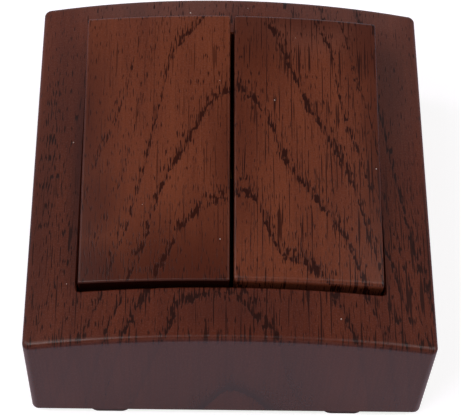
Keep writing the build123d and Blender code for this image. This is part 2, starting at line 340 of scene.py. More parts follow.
@dataclass(frozen=True)
class StainedOak:
    """Open-pored oak, stained dark red-brown and sprayed with satin lacquer.

    The eye sees cathedral points of dark earlywood pores on the middle line, long thin pore strokes
    along the grain between them, and a soft film gloss that greys the faces seen at a slant.
    Lengths and places are in millimetres on the grain map.
    """

    name: str
    light: str
    mid: str
    shade: str
    pore: str
    # Pale grey of the dry specks and of the painted sheen
    specks_and_sheen: str = "#8a7a76"
    # Deeper stain (some spots are painted shade beside the caps), painted shade laid in as pore colour,
    # trails of more pores, and painted sheen on the film
    spots: tuple[StainAndPaintedLightSpot, ...] = ()
    painted_shade_pores: tuple[StainAndPaintedLightSpot, ...] = ()
    trails: tuple[StainAndPaintedLightSpot, ...] = ()
    painted_sheen: tuple[StainAndPaintedLightSpot, ...] = ()
    # Rings: the board on the map, how a line wanders, frays and turns into its legs, and how it thins out
    rings: tuple[GrowthRing, ...] = BOARD_RINGS
    ring_fade: float = 0.0
    map_half: float = 46.0
    map_low: float = -75.0
    map_high: float = 95.0
    wander: Flecks = Flecks(9.0, 9.0, 1.0)
    drift: float = 2.0
    fray: Flecks = Flecks(0.909, 2.0)
    ragged: float = 3.6
    turn_half: float = 4.0
    leg_from: float = 2.0
    leg_to: float = 11.0
    leg_share: float = 0.7
    near_edge: float = 5.0
    band: float = 12.0
    thinning: Points = ((0.7, 0.92), (1.5, 0.55), (2.8, 0.25), (5.5, 0.07))
    # Near end grain: where it starts, and what the rings keep of their look there
    top_end: float = -41.7
    end_start: float = -43.0
    end_calm: float = 0.8
    end_fade: float = 2.8
    end_pores: float = 0.12
    end_tint: float = 1.0
    top_tint: float = 0.3
    # Short pores, some eight times as long as wide, which gather in clumps
    pore_width: float = 0.25
    pore_slender: float = 7.6
    pore_detail: float = 0.6
    pore_opens: float = 0.66
    pore_full: float = 0.82
    pore_depth: float = 0.94
    clumps: Flecks = Flecks(2.0, 2.0, 1.0)
    clump_opens: float = 0.38
    clump_full: float = 0.62
    clump_least: float = 0.18
    clump_most: float = 0.46
    # Long strokes, in loose clusters and more of them on the right
    stroke_width: float = 1 / 3
    stroke_length: float = 12.0
    stroke_start: float = 13.7
    stroke_opens: float = 0.82
    stroke_full: float = 0.92
    stroke_depth: float = 0.85
    stroke_bias: float = 0.0
    stroke_few: float = -0.05
    stroke_many: float = 0.03
    few_until: float = -22.0
    many_from: float = 8.0
    stroke_near: float = 70.0
    stroke_far: float = 80.0
    clusters: Flecks = Flecks(5.0, 5.0, 1.0)
    cluster_share: float = 0.25
    # Ground: wide streaks, fine fibres, the mottle of the sprayed stain and dry specks in the film
    streaks: Flecks = Flecks(8.333, 40.0)
    fibres: Flecks = Flecks(0.5, 14.286)
    fibre_share: float = 0.6
    mottle: Flecks = Flecks(0.5, 0.5)
    mottle_share: float = 0.5
    tone_low: float = 0.75
    tone_high: float = 1.35
    specks: Flecks = Flecks(0.303, 0.303)
    speck_opens: float = 0.5
    speck_full: float = 0.75
    speck_depth: float = 0.07
    # Film
    roughness: float = 0.27
    ior: float = 1.5
    specular: float = 0.18
    relief_mm: float = 0.05
    relief_strength: float = 0.35

    def build(self) -> Material:
        """Build the material on the piece's grain map.

        Returns:
            The finished material.
        """
        material, tree = new_material(self.name)
        grain = add_node(tree, "ShaderNodeUVMap", uv_map=GRAIN_UV)
        place = add_node(
            tree, "ShaderNodeVectorMath", {0: grain, 1: (1 / MM, 1 / MM, 0)}, operation="MULTIPLY"
        )
        across, along, _ = add_node(tree, "ShaderNodeSeparateXYZ", {0: place}).outputs
        plan = BoardPlan(tree, place, across, along)
        density = lay_spots(plan, self._ring_density(plan), self.trails)
        # Painted shade: dark bands where a face sits in shadow, laid in as pore colour
        pores_and_shade = lay_spots(plan, self._pores(plan, density), self.painted_shade_pores)
        colour = add_node(
            tree,
            "ShaderNodeMix",
            {"Factor": pores_and_shade, 6: self._ground(plan, density), 7: linear(self.pore)},
            data_type="RGBA",
        )
        # Pores stay a little open under the film
        relief = add_node(
            tree,
            "ShaderNodeBump",
            {"Strength": self.relief_strength, "Distance": self.relief_mm * MM, "Height": pores_and_shade},
            invert=True,
        )
        shader = add_node(
            tree,
            "ShaderNodeBsdfPrincipled",
            {
                "Base Color": colour.outputs[2],
                "Roughness": self.roughness,
                "IOR": self.ior,
                "Specular IOR Level": self.specular,
                "Normal": relief,
            },
        )
        add_node(tree, "ShaderNodeOutputMaterial", {"Surface": shader})
        return material

    def _over_arris(self, plan: BoardPlan, on_end: float, on_top: float) -> Node:
        """Change a value over the near arris.

        Args:
            plan: Grain map of the material.
            on_end: The value on the near end grain.
            on_top: The value on the top.

        Returns:
            Node with the value.
        """
        return add_node(
            plan.tree,
            "ShaderNodeMapRange",
            {0: plan.along, 1: self.end_start, 2: self.top_end, 3: on_end, 4: on_top},
        )

    def _frayed(self, plan: BoardPlan) -> Node:
        """Shift the place along the grain by the slow wander and the ragged edge of the rings.

        Args:
            plan: Grain map of the material.

        Returns:
            The shifted place in millimetres.
        """
        wandered = add_node(
            plan.tree,
            "ShaderNodeMath",
            {0: self.wander.draw(plan), 1: self.drift, 2: plan.along},
            operation="MULTIPLY_ADD",
        )
        # The near end grain is sealed, so there the rings are smooth
        calm = self._over_arris(plan, self.end_calm, 0.0)
        edge = add_node(plan.tree, "ShaderNodeMix", {0: calm, 2: self.fray.draw(plan), 3: 0.5})
        return add_node(
            plan.tree, "ShaderNodeMath", {0: edge, 1: self.ragged, 2: wandered}, operation="MULTIPLY_ADD"
        )

    def _ring_density(self, plan: BoardPlan) -> Node:
        """Draw the growth rings: 1 on each earlywood line, fading over a few millimetres on its far side.

        Args:
            plan: Grain map of the material.

        Returns:
            Pore density from 0 to 1.
        """
        tree = plan.tree
        frayed = self._frayed(plan)
        share = add_node(tree, "ShaderNodeMapRange", {0: plan.across, 1: -self.map_half, 2: self.map_half})
        # The legs run at a slant, so their bands are longer along the grain than at the points
        beside = add_node(tree, "ShaderNodeMath", {0: plan.across}, operation="ABSOLUTE")
        slant = add_node(
            tree,
            "ShaderNodeMapRange",
            {0: beside, 1: self.leg_from, 2: self.leg_to, 3: 1.0, 4: self.leg_share},
        )
        nearest: Node | float = self.band
        for ring in self.rings:
            level = self._ring_line(plan, ring, share)
            past = add_node(tree, "ShaderNodeMath", {0: frayed, 1: level}, operation="SUBTRACT")
            before = add_node(tree, "ShaderNodeMath", {0: past, 1: -self.near_edge}, operation="MULTIPLY")
            off = add_node(tree, "ShaderNodeMath", {0: past, 1: before}, operation="MAXIMUM")
            fade = add_node(
                tree,
                "ShaderNodeMapRange",
                {
                    0: plan.across,
                    1: -self.turn_half,
                    2: self.turn_half,
                    3: ring.fade_left + self.ring_fade,
                    4: ring.fade_right + self.ring_fade,
                },
            )
            away = add_node(tree, "ShaderNodeMath", {0: off, 1: slant, 2: fade}, operation="MULTIPLY_ADD")
            nearest = add_node(tree, "ShaderNodeMath", {0: nearest, 1: away}, operation="MINIMUM")
        # On the near end grain only the one ring drawn for it stays clear
        lost = self._over_arris(plan, self.end_fade, 0.0)
        faded = add_node(tree, "ShaderNodeMath", {0: nearest, 1: lost}, operation="ADD")
        spent = add_node(tree, "ShaderNodeMath", {0: faded, 1: self.band}, operation="DIVIDE")
        ramp = add_node(tree, "ShaderNodeValToRGB", {0: spent})
        stops = ramp.color_ramp.elements
        stops[0].position, stops[0].color = 0.0, (1, 1, 1, 1)
        stops[1].position, stops[1].color = 1.0, (0, 0, 0, 1)
        for reach, value in self.thinning:
            stops.new(reach / self.band).color = (value, value, value, 1)
        return ramp

    def _ring_line(self, plan: BoardPlan, ring: GrowthRing, share: Node) -> Node:
        """Draw one ring as a smooth curve over the width of the board.

        Args:
            plan: Grain map of the material.
            ring: Ring to draw.
            share: Place across the board, from 0 at its left to 1 at its right.

        Returns:
            The line's place along the grain in millimetres, plus the mean of the wander and the fray.
        """
        curve = add_node(plan.tree, "ShaderNodeFloatCurve", {"Value": share})
        tall = self.map_high - self.map_low
        drawn = curve.mapping.curves[0].points
        wide = 2 * self.map_half
        marks = [((x + self.map_half) / wide, (y - self.map_low) / tall) for x, y in ring.line]
        drawn[0].location, drawn[1].location = marks[0], marks[-1]
        for mark in marks[1:-1]:
            drawn.new(*mark)
        curve.mapping.extend = "EXTRAPOLATED"
        curve.mapping.use_clip = False
        curve.mapping.update()
        middle = (self.drift + self.ragged) / 2
        return add_node(
            plan.tree,
            "ShaderNodeMath",
            {0: curve, 1: tall, 2: self.map_low + middle},
            operation="MULTIPLY_ADD",
        )

    def _pores(self, plan: BoardPlan, density: Node) -> Node:
        """Draw the pores: short ones packed on the rings and long thin ones between.

        Args:
            plan: Grain map of the material.
            density: Pore density from the rings.

        Returns:
            Pore mask from 0 to 1.
        """
        tree = plan.tree
        short = Flecks(self.pore_width, self.pore_slender * self.pore_width, self.pore_detail)
        clumps = self.clumps.draw(plan)
        gather = add_node(
            tree,
            "ShaderNodeMapRange",
            {0: clumps, 1: self.clump_opens, 2: self.clump_full, 3: self.clump_least, 4: self.clump_most},
        )
        packed = add_node(
            tree, "ShaderNodeMath", {0: density, 1: gather, 2: short.draw(plan)}, operation="MULTIPLY_ADD"
        )
        opened = add_node(
            tree,
            "ShaderNodeMapRange",
            {0: packed, 1: self.pore_opens, 2: self.pore_full, 4: self.pore_depth},
            interpolation_type="SMOOTHSTEP",
        )
        # The near end of the board took the stain more evenly, so its rings are fainter
        faint = self._over_arris(plan, self.end_pores, 1.0)
        rings = add_node(tree, "ShaderNodeMath", {0: opened, 1: faint}, operation="MULTIPLY")
        long = Flecks(self.stroke_width, self.stroke_length, 0.0, self.stroke_start)
        few, many = self.stroke_bias + self.stroke_few, self.stroke_bias + self.stroke_many
        more = add_node(
            tree,
            "ShaderNodeMapRange",
            {0: plan.across, 1: self.few_until, 2: self.many_from, 3: few, 4: many},
        )
        richer = add_node(
            tree,
            "ShaderNodeMath",
            {0: self.clusters.draw(plan), 1: self.cluster_share, 2: more},
            operation="MULTIPLY_ADD",
        )
        gathered = add_node(tree, "ShaderNodeMath", {0: long.draw(plan), 1: richer}, operation="ADD")
        drawn = add_node(
            tree,
            "ShaderNodeMapRange",
            {0: gathered, 1: self.stroke_opens, 2: self.stroke_full, 4: self.stroke_depth},
            interpolation_type="SMOOTHSTEP",
        )
        # None on the near end grain, nor where the far part of the board is denser
        topside = self._over_arris(plan, 0.0, 1.0)
        kept = add_node(
            tree,
            "ShaderNodeMapRange",
            {0: plan.along, 1: self.stroke_near, 2: self.stroke_far, 3: topside, 4: 0.0},
        )
        strokes = add_node(tree, "ShaderNodeMath", {0: drawn, 1: kept}, operation="MULTIPLY")
        return add_node(tree, "ShaderNodeMath", {0: rings, 1: strokes}, operation="MAXIMUM")

    def _ground(self, plan: BoardPlan, density: Node) -> NodeSocket:
        """Colour the wood between the pores: wide streaks, fine fibres, dry specks, painted sheen and the
        deeper stain spots, some of which are painted shade.

        Args:
            plan: Grain map of the material.
            density: Pore density from the rings, which also tints the wood beside them.

        Returns:
            Colour of the ground wood.
        """
        tree = plan.tree
        figure = self.streaks.draw(plan)
        for flecks, part in ((self.fibres, self.fibre_share), (self.mottle, self.mottle_share)):
            figure = add_node(
                tree, "ShaderNodeMath", {0: flecks.draw(plan), 1: part, 2: figure}, operation="MULTIPLY_ADD"
            )
        tone = add_node(tree, "ShaderNodeMapRange", {0: figure, 1: self.tone_low, 2: self.tone_high})
        specks_and_sheen = add_node(
            tree,
            "ShaderNodeMapRange",
            {0: self.specks.draw(plan), 1: self.speck_opens, 2: self.speck_full, 4: self.speck_depth},
        )
        # On the near end grain the rings show as a soft tint alone
        tint = self._over_arris(plan, self.end_tint, self.top_tint)
        deep = add_node(tree, "ShaderNodeMath", {0: density, 1: tint}, operation="MULTIPLY")
        ground: Any = linear(self.mid)
        for share, colour in (
            (tone, self.light),
            # Dry specks, and painted sheen: grey haze where the film would reflect the room
            (lay_spots(plan, specks_and_sheen, self.painted_sheen, "ADD"), self.specks_and_sheen),
            # Deeper stain, with painted shade beside the caps and on the left cap's near face
            (lay_spots(plan, deep, self.spots), self.shade),
        ):
            ground = add_node(
                tree, "ShaderNodeMix", {"Factor": share, 6: ground, 7: linear(colour)}, data_type="RGBA"
            ).outputs[2]
        return ground


@dataclass(frozen=True)
class PlainFinish:
    """One even material with a fine surface relief, such as moulded plastic, rubber or drawn metal."""

    name: str
    colour: str
    roughness: float
    metallic: float = 0.0
    ior: float = 1.5
    relief_mm: float = 0.4
    relief_depth_mm: float = 0.01
    relief_strength: float = 0.3

    def build(self) -> Material:
        """Build the material on Object coordinates.

        Returns:
            The finished material.
        """
        material, tree = new_material(self.name)
        place = add_node(tree, "ShaderNodeTexCoord")
        relief = add_node(
            tree,
            "ShaderNodeTexNoise",
            {"Vector": place.outputs["Object"], "Scale": 1 / (self.relief_mm * MM), "Detail": 2.0},
        )
        bump = add_node(
            tree,
            "ShaderNodeBump",
            {"Strength": self.relief_strength, "Distance": self.relief_depth_mm * MM, "Height": relief},
        )
        shader = add_node(
            tree,
            "ShaderNodeBsdfPrincipled",
            {
                "Base Color": linear(self.colour),
                "Metallic": self.metallic,
                "Roughness": self.roughness,
                "IOR": self.ior,
                "Normal": bump,
            },
        )
        add_node(tree, "ShaderNodeOutputMaterial", {"Surface": shader})
        return material


@dataclass(frozen=True)
class Finishes:
    """Every finish on the switch, built once."""

    cover_oak: Material
    left_oak: Material
    right_oak: Material
    black_moulding: Material
    ivory_moulding: Material
    pad_rubber: Material
    zinc_steel: Material
    blued_steel: Material
    strip_brass: Material
    bronzed_brass: Material
    contact_silver: Material
    lacquer_nib: Material

    @classmethod
    def make(cls) -> Finishes:
        """Build all materials.

        Returns:
            The set of finishes.
        """
        cap_tones = {"light": "#6b3521", "mid": "#5a2a1b", "shade": "#40190f"}
        return cls(
            cover_oak=StainedOak(
                "Stained oak, cover",
                "#572617",
                "#481d12",
                "#301513",
                "#1e0703",
                spots=(
                    # Painted shade on the cover beside the right cap
                    StainAndPaintedLightSpot(29, -2, 3.4, 44, 0.35),
                    StainAndPaintedLightSpot(0, -35, 22, 9, 0.4),
                    # Painted shade on the cover beside the left cap
                    StainAndPaintedLightSpot(-30, -4, 3.5, 44, 0.6),
                    StainAndPaintedLightSpot(-38, -10, 5, 40, 0.4),
                ),
                trails=(
                    StainAndPaintedLightSpot(-36.5, 0, 3.5, 36, 0.5),
                    StainAndPaintedLightSpot(-33, -20, 5, 16, 0.3),
                    StainAndPaintedLightSpot(36, -14, 4, 24, 0.35),
                ),
                # Painted sheen: grey haze on the far margin and at the far right
                painted_sheen=(
                    StainAndPaintedLightSpot(-14, 38, 24, 8, 0.08, 0.3),
                    StainAndPaintedLightSpot(22, 38, 22, 7, 0.05, 0.3),
                    StainAndPaintedLightSpot(35, 22, 7, 26, 0.03, 0.3),
                ),
                ring_fade=0.1,
                pore_width=0.3,
                stroke_width=0.48,
                stroke_bias=0.03,
                stroke_near=-16.0,
                stroke_far=4.0,
            ).build(),
            left_oak=StainedOak(
                "Stained oak, left cap",
                pore="#280b05",
                spots=(
                    StainAndPaintedLightSpot(-30, -31, 19, 18, 1.0, 0.3),
                    # Deeper stain on the near part of the top, and painted shade on the near face, which sits
                    # in shadow
                    StainAndPaintedLightSpot(-10, -36, 34, 27, 0.85, 0.3),
                    StainAndPaintedLightSpot(-29, -14, 12, 16, 0.8, 0.2),
                    StainAndPaintedLightSpot(-31, 0, 12, 44, 0.8),
                    StainAndPaintedLightSpot(0, -4, 7, 36, 0.6),
                    StainAndPaintedLightSpot(-6, -20, 12, 16, 0.45),
                ),
                # Painted shade: a dark band down the near face, which sits in shadow
                painted_shade_pores=(StainAndPaintedLightSpot(-15, -31.1, 60, 1.7, 1.0, 0.5),),
                # Painted sheen: grey haze at the far end of the cap
                painted_sheen=(StainAndPaintedLightSpot(-14, 36, 24, 18, 0.035),),
                stroke_depth=0.55,
                **cap_tones,
            ).build(),
            right_oak=StainedOak(
                "Stained oak, right cap",
                pore="#230a06",
                spots=(
                    StainAndPaintedLightSpot(2, 30, 16, 30, 0.7, 0.3),
                    StainAndPaintedLightSpot(31, 29, 14, 30, 0.8, 0.3),
                    StainAndPaintedLightSpot(15, 31, 32, 12, 0.8, 0.25),
                    StainAndPaintedLightSpot(32, 0, 10, 44, 0.85, 0.2),
                    StainAndPaintedLightSpot(-1, 6, 11, 34, 0.65),
                    StainAndPaintedLightSpot(0, -12, 10, 14, 0.45),
                ),
                # Painted sheen: grey haze at the far end of the cap
                painted_sheen=(StainAndPaintedLightSpot(15, 32, 30, 16, 0.08, 0.3),),
                **cap_tones,
            ).build(),
            # Phenolic moulding: dull black with a fine moulded skin
            black_moulding=PlainFinish("Black phenolic moulding", "#1c1a19", 0.5, ior=1.55).build(),
            # Urea moulding: warm white, slightly glossy
            ivory_moulding=PlainFinish("Ivory urea moulding", "#dcd5c2", 0.38, ior=1.52).build(),
            # Soft rubber: matt and dark, finely grained
            pad_rubber=PlainFinish(
                "Pad rubber", "#38201b", 0.75, relief_mm=0.25, relief_depth_mm=0.03
            ).build(),
            # Zinc-plated steel: bright grey with a faint frosting
            zinc_steel=PlainFinish("Zinc-plated steel", "#b9bbbd", 0.32, metallic=1.0).build(),
            # Blued steel: near black with a dull oil sheen
            blued_steel=PlainFinish("Blued steel", "#26262a", 0.45, metallic=1.0).build(),
            # Stamped brass: yellow, lightly drawn
            strip_brass=PlainFinish("Stamped brass", "#c9a25a", 0.28, metallic=1.0).build(),
            # Bronzed brass: brown and dull, as clamps that are dipped after drilling
            bronzed_brass=PlainFinish("Bronzed brass", "#4a3824", 0.5, metallic=1.0).build(),
            # Silver contact alloy: pale and bright
            contact_silver=PlainFinish("Contact silver", "#d8d6d0", 0.22, metallic=1.0).build(),
            # Dry overspray grains in the film: pale and dull
            lacquer_nib=PlainFinish("Lacquer nib", "#c4b0a8", 0.6).build(),
        )


@dataclass(frozen=True)
class GrainMap:
    """Lays the growth-ring figure over a wooden block as a map in metres.

    On top the map is the plan view. It folds over the ends with a slower fall, and over the flanks.
    """

    near_y: float
    far_y: float
    half_width: float
    crown_radius: float = 162 * MM
    end_fall: float = 0.55
    end_band: float = 1.5 * MM
    top_facing: float = 0.5

    def lay(self, obj: Object) -> None:
        """Write the map to a block's mesh.

        Args:
            obj: Object that gets the map.
        """
        mesh = obj.data
        vertex = np.empty(len(mesh.loops), np.int32)
        mesh.loops.foreach_get("vertex_index", vertex)
        co = np.empty(len(mesh.vertices) * 3, np.float32)
        mesh.vertices.foreach_get("co", co)
        points = co.reshape(-1, 3)
        at = points[vertex]
        count = np.empty(len(mesh.polygons), np.int32)
        mesh.polygons.foreach_get("loop_total", count)
        normal = np.empty(len(mesh.polygons) * 3, np.float32)
        mesh.polygons.foreach_get("normal", normal)
        face = np.abs(np.repeat(normal.reshape(-1, 3), count, axis=0))
        lay = np.where(
            face[:, 2] > self.top_facing,
            Lay.TOP.value,
            np.where(face[:, 1] > face[:, 0], Lay.END.value, Lay.FLANK.value),
        )
        crown = points[:, 2] + points[:, 0] ** 2 / (2 * self.crown_radius)
        near_top = crown[points[:, 1] < self.near_y + self.end_band].max()
        far_top = crown[points[:, 1] > self.far_y - self.end_band].max()
        slope = (at[:, 1] - self.near_y) / (self.far_y - self.near_y)
        top = near_top + (far_top - near_top) * slope
        fall = top - at[:, 2] - at[:, 0] ** 2 / (2 * self.crown_radius)
        across = at[:, 0].copy()
        along = at[:, 1].copy()
        near = (lay == Lay.END.value) & (at[:, 1] < (self.near_y + self.far_y) / 2)
        far = (lay == Lay.END.value) & ~near
        flank = lay == Lay.FLANK.value
        along[near] = self.near_y - self.end_fall * fall[near]
        along[far] = self.far_y + self.end_fall * fall[far]
        across[flank] = np.sign(at[flank, 0]) * (self.half_width + fall[flank])
        layer = mesh.uv_layers.get(GRAIN_UV) or mesh.uv_layers.new(name=GRAIN_UV)
        layer.data.foreach_set("uv", np.stack([across, along], 1).astype(np.float32).ravel())


@dataclass
class OakCover:
    """The crowned oak block that holds the rockers."""

    node: str = "cover"

    def dress(self, nodes: dict[str, Object], finishes: Finishes) -> None:
        """Lay the figure on the cover and stain it.

        Args:
            nodes: CAD objects by node name.
            finishes: Finishes of the switch.
        """
        low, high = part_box(self.node)
        GrainMap(low.y, high.y, high.x).lay(nodes[self.node])
        set_material(nodes[self.node], finishes.cover_oak)
        LOG.info("cover stained, %.0f mm square", (high.x - low.x) / MM)


@dataclass
class Rocker:
    """One rocker: oak cap, moulded carrier, coil spring and plunger."""

    side: Side
    tilt_deg: float = 8.0
    wire_radius: float = 0.25 * MM
    coil_radius: float = 1.55 * MM
    turns: float = 4.0
    spring_from: float = -8.7 * MM
    spring_to: float = -2.95 * MM

    @property
    def body(self) -> str:
        """Name of the CAD body that the rocker rides on."""
        return f"rocker_{self.side.value}"

    def dress(self, frame: dict[str, Any], finishes: Finishes) -> None:
        """Finish the CAD pieces and wind the spring.

        Args:
            finishes: Finishes of the switch.
        """
        nodes = frame["nodes"]
        cap = f"rocker_cap_{self.side.value}"
        low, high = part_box(cap)
        GrainMap(low.y, high.y, max(abs(low.x), abs(high.x))).lay(nodes[cap])
        oak = finishes.left_oak if self.side is Side.LEFT else finishes.right_oak
        set_material(nodes[cap], oak)
        set_material(nodes[f"rocker_carrier_{self.side.value}"], finishes.black_moulding)
        set_material(nodes[f"plunger_{self.side.value}"], finishes.ivory_moulding)
        spring = self._wind_spring(frame, finishes)
        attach(spring, self.body)
        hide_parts(f"spring_{self.side.value}")
        LOG.info("%s rocker finished, spring of %.0f turns", self.side.value, self.turns)

    def _wind_spring(self, frame: dict[str, Any], finishes: Finishes) -> Object:
        """Wind the coil spring with Geometry Nodes and stand it in its socket.

        Args:
            finishes: Finishes of the switch.

        Returns:
            The spring as a plain mesh object at the origin.
        """
        pivot = next(Vector(j["pos_m"]) for j in frame["joints"] if j["child"] == self.body)
        tree = CoilSpringTree().build(finishes.zinc_steel)
        sizes = {
            "Turns": self.turns,
            "Coil Radius": self.coil_radius,
            "Height": self.spring_to - self.spring_from - 2 * self.wire_radius,
            "Wire Radius": self.wire_radius,
        }
        mesh = realise(tree, sizes, bpy.data.meshes.new("spring_seed"))
        seat = Matrix.Translation(pivot) @ Matrix.Rotation(math.radians(self.tilt_deg), 4, "X")
        mesh.transform(seat @ Matrix.Translation((0, 0, self.spring_from + self.wire_radius)))
        return new_object(f"coil_spring_{self.side.value}", mesh)


def start_tree(name: str, sizes: tuple[str, ...], on_mesh: bool) -> GeometryNodeTree:
    """Start a Geometry Nodes tree.

    Args:
        name: Name of the tree.
        sizes: Names of its size inputs.
        on_mesh: Whether it starts from the mesh of its object.

    Returns:
        The empty tree with its inputs and its output.
    """
    tree = bpy.data.node_groups.new(name, "GeometryNodeTree")
    if on_mesh:
        tree.interface.new_socket("Geometry", in_out="INPUT", socket_type="NodeSocketGeometry")
    for size in sizes:
        tree.interface.new_socket(size, in_out="INPUT", socket_type="NodeSocketFloat")
    tree.interface.new_socket("Geometry", in_out="OUTPUT", socket_type="NodeSocketGeometry")
    return tree


def end_tree(tree: GeometryNodeTree, shape: Node, material: Material) -> None:
    """End a Geometry Nodes tree in plain, finished geometry.

    Args:
        tree: Tree to end.
        shape: Node with the shape.
        material: Finish of the shape.
    """
    solid = add_node(tree, "GeometryNodeRealizeInstances", {"Geometry": shape})
    finished = add_node(tree, "GeometryNodeSetMaterial", {"Geometry": solid, "Material": material})
    add_node(tree, "NodeGroupOutput", {"Geometry": finished})


@dataclass
class CoilSpringTree:
    """Geometry Nodes tree that winds a round wire into a coil."""

    steps_per_turn: int = 28
    wire_sides: int = 10

    def build(self, material: Material) -> GeometryNodeTree:
        """Build the tree with named inputs for its sizes.

        Args:
            material: Finish of the wire.

        Returns:
            The node tree.
        """
        tree = start_tree("Coil spring", ("Turns", "Coil Radius", "Height", "Wire Radius"), on_mesh=False)
        size = add_node(tree, "NodeGroupInput")
        coil = add_node(
            tree,
            "GeometryNodeCurveSpiral",
            {
                "Resolution": self.steps_per_turn,
                "Rotations": size.outputs["Turns"],
                "Start Radius": size.outputs["Coil Radius"],
                "End Radius": size.outputs["Coil Radius"],
                "Height": size.outputs["Height"],
            },
        )
        wire = add_node(
            tree,
            "GeometryNodeCurvePrimitiveCircle",
            {"Resolution": self.wire_sides, "Radius": size.outputs["Wire Radius"]},
        )
        swept = add_node(
            tree, "GeometryNodeCurveToMesh", {"Curve": coil, "Profile Curve": wire, "Fill Caps": True}
        )
        smooth = add_node(tree, "GeometryNodeSetShadeSmooth", {"Geometry": swept})
        end_tree(tree, smooth, material)
        return tree


@dataclass
class NibTree:
    """Geometry Nodes tree that strews dry overspray grains on the upper faces of a block."""

    seed: int
    facing_up: float = 0.95
    smallest: float = 0.5
    largest: float = 1.4

    def build(self, material: Material) -> GeometryNodeTree:
        """Build the tree with named inputs for its sizes.

        Args:
            material: Finish of the grains.

        Returns:
            The node tree.
        """
        tree = start_tree("Lacquer nibs", ("Density", "Radius"), on_mesh=True)
        size = add_node(tree, "NodeGroupInput")
        normal = add_node(tree, "GeometryNodeInputNormal")
        axes = add_node(tree, "ShaderNodeSeparateXYZ", {0: normal})
        upper = add_node(
            tree,
            "FunctionNodeCompare",
            {0: axes.outputs[2], 1: self.facing_up},
            data_type="FLOAT",
            operation="GREATER_THAN",
        )
        strewn = add_node(
            tree,
            "GeometryNodeDistributePointsOnFaces",
            {
                "Mesh": size.outputs["Geometry"],
                "Selection": upper,
                "Density": size.outputs["Density"],
                "Seed": self.seed,
            },
        )
        grain = add_node(
            tree, "GeometryNodeMeshIcoSphere", {"Radius": size.outputs["Radius"], "Subdivisions": 1}
        )
        spread = add_node(
            tree,
            "FunctionNodeRandomValue",
            {2: self.smallest, 3: self.largest, "Seed": self.seed},
            data_type="FLOAT",
        )
        placed = add_node(
            tree,
            "GeometryNodeInstanceOnPoints",
            {"Points": strewn, "Instance": grain, "Scale": spread.outputs[1]},
        )
        end_tree(tree, placed, material)
        return tree


def realise(tree: GeometryNodeTree, sizes: dict[str, float], seed_mesh: Mesh) -> Mesh:
    """Run a Geometry Nodes tree once and keep its result as a plain mesh.

    Args:
        tree: Tree to run.
        sizes: Value of each named input.
        seed_mesh: Mesh that the tree starts from.

    Returns:
        The resulting mesh.
    """
    worker = new_object("worker", seed_mesh)
    modifier = worker.modifiers.new("Nodes", "NODES")
    modifier.node_group = tree
    for item in tree.interface.items_tree:
        if item.in_out == "INPUT" and item.name in sizes:
            modifier[item.identifier] = sizes[item.name]
    graph = bpy.context.evaluated_depsgraph_get()
    graph.update()
    mesh = bpy.data.meshes.new_from_object(worker.evaluated_get(graph))
    worker.modifiers.remove(modifier)
    bpy.data.objects.remove(worker)
    return mesh


@dataclass
class LacquerNibs:
    """A few pale grains caught in the lacquer on each upper face."""

    density: float = 2200.0
    radius: float = 0.11 * MM
    first_seed: int = 3

    def strew(self, frame: dict[str, Any], finishes: Finishes) -> None:
        """Strew grains on the cover and both caps.

        Args:
            finishes: Finishes of the switch.
        """
        sizes = {"Density": self.density, "Radius": self.radius}
        bodies = {"cover": "case"} | {f"rocker_cap_{side.value}": f"rocker_{side.value}" for side in Side}
        for seed, (node, body) in enumerate(bodies.items(), self.first_seed):
            tree = NibTree(seed).build(finishes.lacquer_nib)
            mesh = realise(tree, sizes, frame["nodes"][node].data.copy())
            nibs = new_object(f"lacquer_nibs_{node}", mesh)
            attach(nibs, body)
            LOG.info("%d nib faces on %s", len(mesh.polygons), node)


@dataclass
class ContactMechanism:
    """The moulded base with its strips, clamps, pins and see-saw contacts."""

    def dress(self, nodes: dict[str, Object], finishes: Finishes) -> None:
        """Finish every piece by what it is made of.

        Args:
            nodes: CAD objects by node name.
            finishes: Finishes of the switch.
        """
        by_start = {
            "mechanism_base": finishes.black_moulding,
            "common_strip": finishes.strip_brass,
            "output_strip": finishes.strip_brass,
            "terminal_block": finishes.bronzed_brass,
            "contact_blade": finishes.strip_brass,
            "fixed_contact": finishes.contact_silver,
            "moving_contact": finishes.contact_silver,
            "terminal_screw": finishes.blued_steel,
            "pivot_pin": finishes.zinc_steel,
        }
        for name, obj in nodes.items():
            for start, material in by_start.items():
                if name.startswith(start):
                    set_material(obj, material)
        LOG.info("contact mechanism finished")


@dataclass
class BackSide:
    """The base plate, the pads and the screws that are seen from behind."""

    def dress(self, nodes: dict[str, Object], finishes: Finishes) -> None:
        """Finish the back.

        Args:
            nodes: CAD objects by node name.
            finishes: Finishes of the switch.
        """
        set_material(nodes["base_plate"], finishes.black_moulding)
        set_material(nodes["wall_pads"], finishes.pad_rubber)
        set_material(nodes["cover_screws"], finishes.zinc_steel)
        set_material(nodes["mechanism_screws"], finishes.zinc_steel)
        LOG.info("back finished")


@dataclass(frozen=True)
class SoftBox:
    """One rectangular lamp that faces the switch: its place and two sides in metres, and its power."""

    name: str
    at: Place
    size: tuple[float, float]
    watts: float

    def hang(self) -> None:
        """Hang the lamp in its place."""
        lamp = bpy.data.lights.new(self.name, "AREA")
        lamp.shape = "RECTANGLE"
        lamp.size, lamp.size_y = self.size
        lamp.energy = self.watts
        box = new_object(self.name, lamp)
        box.location = self.at
        box.rotation_mode = "QUATERNION"
        box.rotation_quaternion = (-Vector(self.at)).to_track_quat("-Z", "Y")


